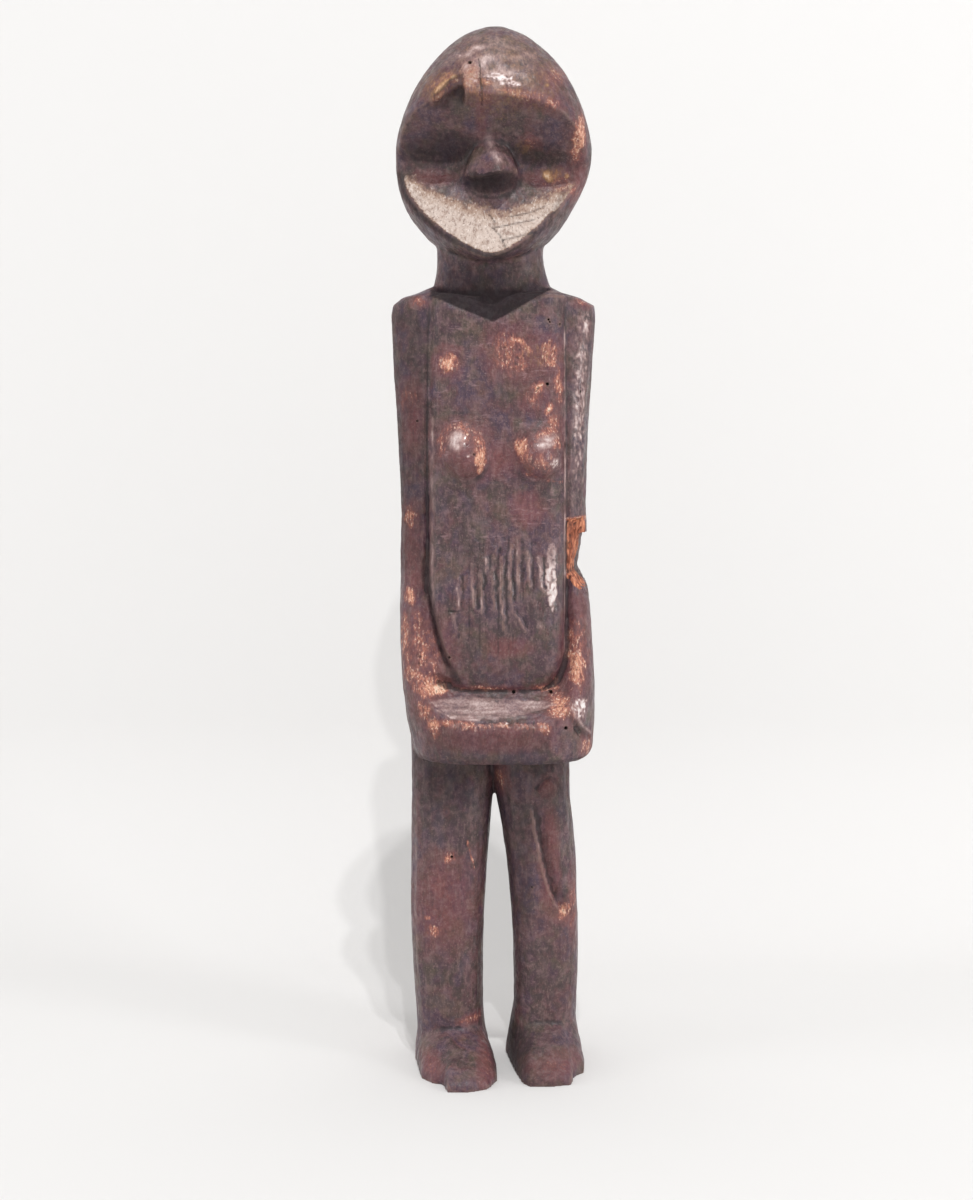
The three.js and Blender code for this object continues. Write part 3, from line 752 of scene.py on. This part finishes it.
# a painted reflection on the belly's right side, in fine ripples, fainter at the top
shine_x = np.interp(z, [289, 293, 300, 308, 314, 318, 330], [35.6, 35.2, 35.4, 34.6, 34.4, 35, 35.4])
half = np.interp(z, [288, 292, 299, 308, 314, 319, 327, 332], [0.3, 1.6, 3.2, 3.6, 3.0, 3.4, 3.2, 1.2])
half = half + 0.8 * cloud(place, (3, 3, 3), 51)
contour = step(np.abs(np.sin(8 * cloud(place, (5.5, 6, 9), 52))), 0.12, 0.6)
painted_shine = (1 - step(np.abs(x - shine_x), half - 0.8, half + 0.5)) * window(z, 290, 329, 2.5)
# painted glints along the right arm's ridge, most along its crest
crest_x = np.interp(z, [345, 380, 420, 466], [50.5, 51.5, 52.2, 54.6])
lights = 0.4 + 1.2 * np.abs(cloud(place, (2.2, 3, 5), 40)) + 0.8 * cloud(place, (1.3, 2, 2.2), 53)
arm_glints = (0.3 + 0.36 * (1 - step(np.abs(x - crest_x), 1.5, 4.5)) * step(z, 350, 400)) * window(x, 47.5, 57.5, 3)
arm_glints *= window(z, *RIDGE_Z, 8) * np.clip(lights, 0, 1.3)

wavy = wavering()
varied = np.clip(0.75 + 0.8 * cloud(place, (4, 4, 9), 39), 0.3, 1.3)
thick = 0.8 + 0.5 * cloud(place, (5, 5, 9), 38)
flecks = 0.75 + 0.9 * cloud(place, (1.4, 2, 1.2), 47)
coarse_flecks = 0.85 + 1.3 * cloud(place, (1.6, 2, 1.2), 47)
dome = 0.5 * oval(place, (8, 612), (34, 28)) + 0.3 * oval(place, (-20, 618), (30, 22))
PALE_LINES = [
    ([(42.9, 460), (43.4, 380), (43.6, 262)], 1.0, 0.7), ([(-36.6, 404), (-36.8, 340), (-36.4, 286)], 2.6, 0.62),
    ([(24.9, 160), (28.7, 141), (32.5, 122), (36, 110), (40.2, 102)], 1.8, 0.5),
    ([(-47, 170), (-48.4, 110), (-46.5, 45)], 1.8, 0.4),
    ([(-34, 230), (-25, 225.8), (-14, 224.6), (-8, 224.6)], 1.3, 0.8),
]
BRIGHT_RIDGES = [
    [(0.6, 326), (-0.6, 313), (0, 304), (0, 296)], [(-21.4, 303), (-21, 293)], [(27.5, 318), (29, 308)],
]
highlight_and_dust = most(
    # head: painted highlights on the dome, the brow and the nose's back
    dome * (0.8 + 0.7 * cloud(place, (7, 9, 6), 46)),
    oval(place, (3, 604), (10, 3.6), -4) ** 0.6 * (facing[:, 1] < -0.3) * coarse_flecks,
    oval(place, (10, 600.4), (9, 1.8), -4) ** 0.6 * coarse_flecks,
    0.6 * oval(place, (-12, 602), (5, 5)) ** 0.6 * flecks,
    0.55 * along_line(place, [(-3, 571), (-1, 563), (3.5, 557)], 4.5) ** 0.7 * (y < -8),
    # breasts: painted highlights and glints
    0.9 * oval(place + stray, (-22.3, 392), (7, 9)) * (0.85 + 0.4 * cloud(place, (1.4, 9, 6), 48)),
    0.88 * oval(place + stray, (31.6, 390.5), (10, 6), 30) * (0.85 + 0.4 * cloud(place, (3, 9, 1.6), 49)),
    0.85 * oval(place + stray, (37.6, 378), (4.2, 4.4)) ** 0.8 * flecks,
    0.8 * oval(place + stray, (-14.5, 382.6), (2.2, 1.6)) * flecks,
    # belly: painted reflection, and painted highlights on the ridges
    painted_shine * (0.4 + 0.44 * contour) * (1 - 0.32 * step(z, 314, 320)),
    0.75 * along_line(wavy, [(27.2, 322), (28.6, 313), (29.2, 304)], 1.1) ** 0.6,
    0.42 * oval(place + stray, (28.5, 280.5), (5, 5)),
    *(0.6 * along_line(wavy, line, 1.5) ** 0.7 * varied for line in RIDGES),
    *(0.2 * along_line(wavy, line, 3.4) ** 0.5 for line in RIDGES),
    *(0.85 * along_line(wavy, line, 1.3) ** 0.7 * varied for line in BRIGHT_RIDGES),
    # ledge: dust and painted top light; painted highlights on its splinters and the hem's right corner
    on_ledge * step(facing[:, 2], 0.2, 0.45) * (0.52 + 0.2 * cloud(place, (14, 3, 1.8), 36)),
    0.9 * splinters * coarse_flecks * (z > low_lip),
    oval(place + stray, (52.4, 230.5), (6, 8)) ** 0.6 * coarse_flecks,
    0.6 * along_line(place, [(48.5, 229), (54, 220), (60, 213)], 1.4) ** 0.6,
    # painted glints on the right arm's ridge, and painted highlights, partly edge wear, along the edges of board, legs
    # and hem
    arm_glints * (facing[:, 1] < -0.2),
    *(amount * along_line(place, line, wide) ** 0.7 * thick for line, wide, amount in PALE_LINES),
)
keep("highlight_and_dust", highlight_and_dust * front)

# the chisel's strokes across the chest show as finer dark and pale lines
strokes = window(z, 325, 458, 14) * window(x, -36, 41, 3) * step(cloud(place, (16, 30, 12), 54), -0.2, 0.3)
keep("strokes", strokes * front)


# The wood: dark brown under a bluish and mauve patina, semi-gloss, with upright grain. Bare places go through
# reddish brown and orange to cream, and their borders are torn along the grain.

def tone(red, green, blue):
    """A colour as the eye names it, 0 to 255, as the light values that a shader takes"""
    return (*(((v / 255 + 0.055) / 1.055) ** 2.4 if v > 10 else v / 3294.6 for v in (red, green, blue)), 1)


def place_node(tree, kind, sockets=None, **settings):
    """Adds a node, sets it, and fills its sockets with plain values or with other nodes' outputs"""
    made = tree.nodes.new(kind)
    for name, value in settings.items():
        setattr(made, name, value)
    for key, value in (sockets or {}).items():
        if isinstance(value, bpy.types.NodeSocket):
            tree.links.new(value, made.inputs[key])
        else:
            made.inputs[key].default_value = value
    return made


def blend(tree, share, under, over):
    """One colour over another, by a share"""
    return place_node(tree, "ShaderNodeMix", {0: share, 6: under, 7: over}, data_type="RGBA").outputs[2]


def sum_of(tree, kind, *values, clamp=False):
    """Plain arithmetic on values"""
    made = place_node(tree, "ShaderNodeMath", dict(enumerate(values)), operation=kind, use_clamp=clamp)
    return made.outputs[0]


def between(tree, value, low, high, start=0.0, end=1.0):
    """Goes smoothly from start to end as the value goes from low to high"""
    sockets = {0: value, 1: low, 2: high, 3: start, 4: end}
    return place_node(tree, "ShaderNodeMapRange", sockets, interpolation_type="SMOOTHSTEP").outputs[0]


def clouds(tree, size, seed, detail, rough=0.55):
    """Noise from 0 to 1 in the wood itself, with lumps of this size in mm"""
    where = place_node(tree, "ShaderNodeTexCoord").outputs["Object"]
    mapping = {0: where, 1: (seed * 3.1, seed * 1.7, seed * 2.3), 3: [MM / s for s in size]}
    turned = place_node(tree, "ShaderNodeMapping", mapping).outputs[0]
    sockets = {"Vector": turned, "Scale": 1.0, "Detail": detail, "Roughness": rough}
    return place_node(tree, "ShaderNodeTexNoise", sockets).outputs[0]


def stored(tree, name):
    """A value kept on the figure's points"""
    return place_node(tree, "ShaderNodeAttribute", attribute_name=name).outputs["Fac"]


def new_material(name, **settings):
    """A material with a bare Principled shader, and the values that are the same all over set on it"""
    made = bpy.data.materials.new(name)
    made.use_nodes = True
    shader = made.node_tree.nodes["Principled BSDF"]
    for socket, value in settings.items():
        shader.inputs[socket.replace("_", " ").title()].default_value = value
    return made, made.node_tree, shader


def border_group():
    """A soft value becomes a torn one: fibres along the grain and specks break its border up"""
    group = bpy.data.node_groups.new("torn_border", "ShaderNodeTree")
    for name, kind in (("Value", "INPUT"), ("Tear", "INPUT"), ("Torn", "OUTPUT")):
        group.interface.new_socket(name, in_out=kind, socket_type="NodeSocketFloat")
    came = group.nodes.new("NodeGroupInput")
    goes = group.nodes.new("NodeGroupOutput")
    fibres = sum_of(group, "SUBTRACT", clouds(group, (1.3, 1.3, 4.5), 1, 4, 0.65), 0.5)
    lumps = sum_of(group, "SUBTRACT", clouds(group, (4, 4, 6), 2, 2), 0.5)
    both = sum_of(group, "MULTIPLY_ADD", lumps, 0.8, fibres)
    torn = sum_of(group, "MULTIPLY_ADD", both, came.outputs["Tear"], came.outputs["Value"])
    # a place where nothing is kept stays clear
    there = between(group, came.outputs["Value"], 0.0, 0.2)
    group.links.new(sum_of(group, "MULTIPLY", torn, there, clamp=True), goes.inputs[0])
    return group


border = border_group()


def torn_border(tree, name, tear):
    """The value kept under a name, with its border torn by so much"""
    return place_node(tree, "ShaderNodeGroup", {"Value": stored(tree, name), "Tear": tear}, node_tree=border).outputs[0]


def ramp_of(tree, value, stops):
    """Goes through a row of tones, each at its place from 0 to 1"""
    made = place_node(tree, "ShaderNodeValToRGB", {0: value})
    row = made.color_ramp.elements
    row[0].position, row[1].position = stops[0][0], stops[-1][0]
    row[0].color, row[1].color = tone(*stops[0][1]), tone(*stops[-1][1])
    for position, stop in stops[1:-1]:
        row.new(position).color = tone(*stop)
    return made.outputs[0]


def mottled(tree, colour, rows, within=None):
    """Lays tones over a colour. Each row: a noise, where it starts and is full, how much it then covers, its tone"""
    for grain, low, high, cover, shade in rows:
        share = between(tree, grain, low, high, 0.0, cover)
        if within is not None:
            share = sum_of(tree, "MULTIPLY", share, within)
        colour = blend(tree, share, colour, tone(*shade))
    return colour


def added_up(tree, start, rows, clamp=False):
    """Adds values to a start, each times its amount"""
    for value, amount in rows:
        start = sum_of(tree, "MULTIPLY_ADD", value, amount, start, clamp=clamp)
    return start


wood, tree, shader = new_material("patinated_wood", roughness=0.45, coat_roughness=0.15)
# the patina: broad patches of brown, mauve, olive and blue, reddish stain, then dabs, streaks and specks
PATINA = [
    (0.3, (59, 46, 64)), (0.4, (83, 57, 65)), (0.47, (72, 57, 54)), (0.54, (97, 64, 66)), (0.62, (76, 55, 70)),
    (0.7, (103, 72, 68)),
]
colour = ramp_of(tree, clouds(tree, (24, 24, 32), 5, 5, 0.62), PATINA)
colour = mottled(tree, colour, [
    (clouds(tree, (7, 7, 10), 6, 5, 0.6), 0.42, 0.62, 0.35, (62, 47, 56)),
    (clouds(tree, (9, 9, 12), 16, 4, 0.6), 0.48, 0.7, 0.34, (136, 108, 108)),
    (clouds(tree, (13, 13, 13), 18, 2, 0.5), 0.52, 0.66, 0.34, (92, 82, 62)),
    (clouds(tree, (12, 12, 16), 20, 2, 0.5), 0.52, 0.66, 0.26, (74, 64, 90)),
])
stain_share = sum_of(tree, "MULTIPLY", torn_border(tree, "stain", 0.5), 0.72)
colour = blend(tree, stain_share, colour, tone(128, 68, 68))
dabs = clouds(tree, (3.0, 3.0, 3.6), 17, 3, 0.5)
streaks = clouds(tree, (1.8, 1.8, 10), 7, 4, 0.65)
specks = clouds(tree, (1.1, 1.1, 1.3), 8, 3, 0.7)
colour = mottled(tree, colour, [
    (dabs, 0.5, 0.68, 0.24, (146, 114, 114)), (dabs, 0.48, 0.32, 0.26, (46, 34, 40)),
    (streaks, 0.52, 0.72, 0.27, (150, 120, 116)), (streaks, 0.48, 0.3, 0.27, (46, 34, 40)),
    (specks, 0.54, 0.7, 0.3, (164, 134, 130)), (specks, 0.46, 0.32, 0.28, (44, 32, 38)),
])
across = clouds(tree, (6, 6, 2.0), 22, 4, 0.6)
strokes = stored(tree, "strokes")
colour = mottled(tree, colour, [
    (across, 0.54, 0.7, 0.4, (164, 130, 132)), (across, 0.46, 0.32, 0.34, (62, 42, 54)),
], strokes)
edges = torn_border(tree, "edge", 0.8)
colour = mottled(tree, colour, [(edges, 0.4, 0.95, 0.4, (140, 108, 98))])

# bare wood: reddish at its borders, orange, then cream where it is worn most, with painted glints and dark specks in it
worn = torn_border(tree, "bare", 1.0)
bare_share = between(tree, worn, 0.12, 0.62)
BARE_TONES = [
    (0.22, (112, 68, 66)), (0.42, (140, 86, 79)), (0.6, (176, 113, 96)), (0.8, (222, 160, 132)), (1.0, (244, 212, 188)),
]
colour = blend(tree, bare_share, colour, ramp_of(tree, worn, BARE_TONES))
glint_and_speck_noise = clouds(tree, (1.2, 1.2, 1.8), 19, 2, 0.6)
colour = mottled(tree, colour, [
    (glint_and_speck_noise, 0.55, 0.67, 0.75, (246, 216, 194)), (glint_and_speck_noise, 0.44, 0.34, 0.7, (78, 48, 42)),
], between(tree, worn, 0.3, 0.6))
gold = torn_border(tree, "gold", 0.7)
GOLD_TONES = [(0.25, (104, 84, 66)), (0.55, (146, 108, 72)), (0.78, (198, 154, 116)), (1.0, (240, 220, 190))]
colour = blend(tree, between(tree, gold, 0.1, 0.7, 0.0, 0.9), colour, ramp_of(tree, gold, GOLD_TONES))

# the painted highlights and dust, and the torn wood of the break
highlight_and_dust = torn_border(tree, "highlight_and_dust", 0.55)
HIGHLIGHT_AND_DUST_TONES = [(0.2, (136, 108, 104)), (0.5, (170, 140, 136)), (0.75, (206, 182, 178)), (1.0, (246, 240, 238))]
colour = blend(tree, between(tree, highlight_and_dust, 0.1, 0.8, 0.0, 0.9), colour, ramp_of(tree, highlight_and_dust, HIGHLIGHT_AND_DUST_TONES))
torn_share = between(tree, torn_border(tree, "torn", 0.5), 0.3, 0.6)
TORN_TONES = [(0.32, (76, 40, 30)), (0.5, (170, 98, 72)), (0.68, (232, 160, 122))]
colour = blend(tree, torn_share, colour, ramp_of(tree, clouds(tree, (1.6, 1.6, 11), 9, 4, 0.6), TORN_TONES))

# the clay: a thin dry layer, browner where it runs out
clay = torn_border(tree, "clay", 0.7)
clay_mask = between(tree, clay, 0.08, 0.6)
clay_grain = clouds(tree, (1.4, 1.4, 7), 10, 4, 0.65)
CLAY_TONES = [(0.2, (124, 92, 82)), (0.5, (158, 130, 114)), (0.75, (184, 162, 149)), (1.0, (202, 185, 175))]
clay_colour = mottled(tree, ramp_of(tree, clay, CLAY_TONES), [
    (clouds(tree, (4, 5, 7), 14, 5, 0.65), 0.5, 0.68, 0.7, (140, 114, 102)),
    (clay_grain, 0.46, 0.34, 0.5, (120, 94, 82)), (clay_grain, 0.52, 0.7, 0.62, (238, 226, 218)),
    (clouds(tree, (1.2, 1.2, 1.6), 21, 2, 0.6), 0.4, 0.32, 0.6, (96, 70, 60)),
])
colour = blend(tree, clay_mask, colour, clay_colour)

# painted shade in what lies deep and in the places kept as shaded, and the dark of holes and cracks
dark = sum_of(tree, "MAXIMUM", between(tree, stored(tree, "cavity"), 0.1, 0.9, 0.0, 0.8), stored(tree, "shaded"))
colour = blend(tree, sum_of(tree, "MULTIPLY", dark, 0.9), colour, tone(26, 17, 22))
colour = blend(tree, stored(tree, "pit"), colour, tone(34, 19, 16))
tree.links.new(colour, shader.inputs["Base Color"])

# the shine: even handling has polished it, while bare wood, clay, the places of painted shade and torn wood are dull
dull = between(tree, clouds(tree, (4, 4, 6), 12, 5, 0.65), 0.38, 0.64, 0.3, 0.58)
dull = added_up(tree, dull, [
    (streaks, 0.12), (stored(tree, "polish"), -0.16), (bare_share, 0.12), (clay_mask, 0.4),
    (stored(tree, "shaded"), 0.45), (torn_share, 0.3),
], clamp=True)
tree.links.new(dull, shader.inputs["Roughness"])
lacquer = sum_of(tree, "MULTIPLY", stored(tree, "polish"), 0.35)
tree.links.new(lacquer, shader.inputs["Coat Weight"])

# the grain, too fine for the skin's faces
rougher = sum_of(tree, "MULTIPLY_ADD", worn, 1.4, 0.3)
height = added_up(tree, sum_of(tree, "MULTIPLY", streaks, 0.4), [
    (sum_of(tree, "MULTIPLY", across, strokes), 1.2), (specks, rougher), (dabs, 1.0),
    (clouds(tree, (7, 7, 0.9), 13, 3, 0.6), 0.35), (worn, -0.5), (clay_mask, 0.2),
])
bump = place_node(tree, "ShaderNodeBump", {"Strength": 0.85, "Distance": 0.0006, "Height": height})
tree.links.new(bump.outputs[0], shader.inputs["Normal"])
figure.data.materials.clear()
figure.data.materials.append(wood)

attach(figure, "root")
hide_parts("carved_figure")


# The studio: one sheet of white paper, flat under the feet and bent up to lean away a third of a metre behind the
# figure. Seen from behind it isn't there, so that it never stands in front of the figure.

PAPER_SIZE, PAPER_BACK, BEND = 4.0, 0.36, 0.16
bpy.ops.object.select_all(action="DESELECT")
bpy.ops.mesh.primitive_plane_add(size=PAPER_SIZE, location=(0, PAPER_BACK - PAPER_SIZE / 2, 0))
paper = bpy.context.object
paper.name = "studio_paper"
bpy.ops.object.transform_apply(location=True)


def select_edges(thing, wanted):
    """Selects the edges whose middle is wanted, and nothing else"""
    bpy.ops.object.mode_set(mode="EDIT")
    bpy.ops.mesh.select_mode(type="EDGE")
    bpy.ops.mesh.select_all(action="DESELECT")
    bpy.ops.object.mode_set(mode="OBJECT")
    for edge in thing.data.edges:
        a, b = (thing.data.vertices[i].co for i in edge.vertices)
        edge.select = wanted((a + b) / 2)
    bpy.ops.object.mode_set(mode="EDIT")


select_edges(paper, lambda middle: middle.y > PAPER_BACK - 0.01)
bpy.ops.mesh.extrude_region_move(TRANSFORM_OT_translate={"value": (0, 0.3, 2.2)})
bpy.ops.object.mode_set(mode="OBJECT")
select_edges(paper, lambda middle: abs(middle.y - PAPER_BACK) < 0.001 and abs(middle.x) < 0.1)
bpy.ops.mesh.bevel(offset=BEND, segments=18)
bpy.ops.mesh.select_all(action="SELECT")
bpy.ops.mesh.normals_make_consistent(inside=False)
bpy.ops.object.mode_set(mode="OBJECT")
if sum(face.normal.z * face.area for face in paper.data.polygons) < 0:
    bpy.ops.object.mode_set(mode="EDIT")
    bpy.ops.mesh.flip_normals()
    bpy.ops.object.mode_set(mode="OBJECT")
bpy.ops.object.shade_smooth()
sheet, tree, shader = new_material("white_paper", base_color=tone(228, 227, 226), roughness=0.9)
facing_away = place_node(tree, "ShaderNodeNewGeometry").outputs["Backfacing"]
clear = place_node(tree, "ShaderNodeBsdfTransparent").outputs[0]
mixed = place_node(tree, "ShaderNodeMixShader", {0: facing_away, 1: shader.outputs[0], 2: clear}).outputs[0]
tree.links.new(mixed, tree.nodes["Material Output"].inputs["Surface"])
paper.data.materials.append(sheet)


# The light: three small lamps high in front, a narrow window far to the right for the long shine, a faint fill from
# the left, and pale walls all round. The camera stands a little above the belly and looks down at the feet.

def soft_lamp(name, place, size, power, aim=(0, 0, 0.34)):
    """A flat lamp of this size in metres and power in watts, turned towards the figure's middle"""
    lamp = bpy.data.lights.new(name, "AREA")
    lamp.shape, lamp.size, lamp.size_y, lamp.energy = "RECTANGLE", size[0], size[1], power
    holder = new_object(name, lamp)
    holder.location = place
    holder.rotation_euler = (Vector(aim) - Vector(place)).to_track_quat("-Z", "Y").to_euler()


SMALL = (0.04, 0.04)
soft_lamp("lamp_high", (0.10, -1.22, 2.84), SMALL, 14.6)
soft_lamp("lamp_right", (0.20, -1.20, 2.84), SMALL, 13.6)
soft_lamp("lamp_low", (0.12, -1.85, 2.39), SMALL, 14)
soft_lamp("side_window", (1.3, -0.75, 0.6), (0.3, 0.9), 6)
soft_lamp("left_fill", (-1.3, -0.35, 0.6), (0.6, 1.0), 3)

room = bpy.data.worlds.new("pale_room")
bpy.context.scene.world = room
room.use_nodes = True
walls = room.node_tree.nodes["Background"].inputs
walls["Color"].default_value, walls["Strength"].default_value = (1.0, 0.995, 0.99, 1), 0.562
bpy.context.scene.view_settings.view_transform = "Standard"

EYE = (-0.004, -1.2375, 0.4229)
DEGREES_DOWN = 6
FILM_HEIGHT, FOCAL_LENGTH = 36, 60.54
lens = bpy.data.cameras.new("photo_camera")
lens.sensor_fit, lens.sensor_height, lens.lens = "VERTICAL", FILM_HEIGHT, FOCAL_LENGTH
camera = new_object("photo_camera", lens)
camera.location = EYE
camera.rotation_euler = (math.radians(90 - DEGREES_DOWN), 0, 0)
bpy.context.scene.camera = camera
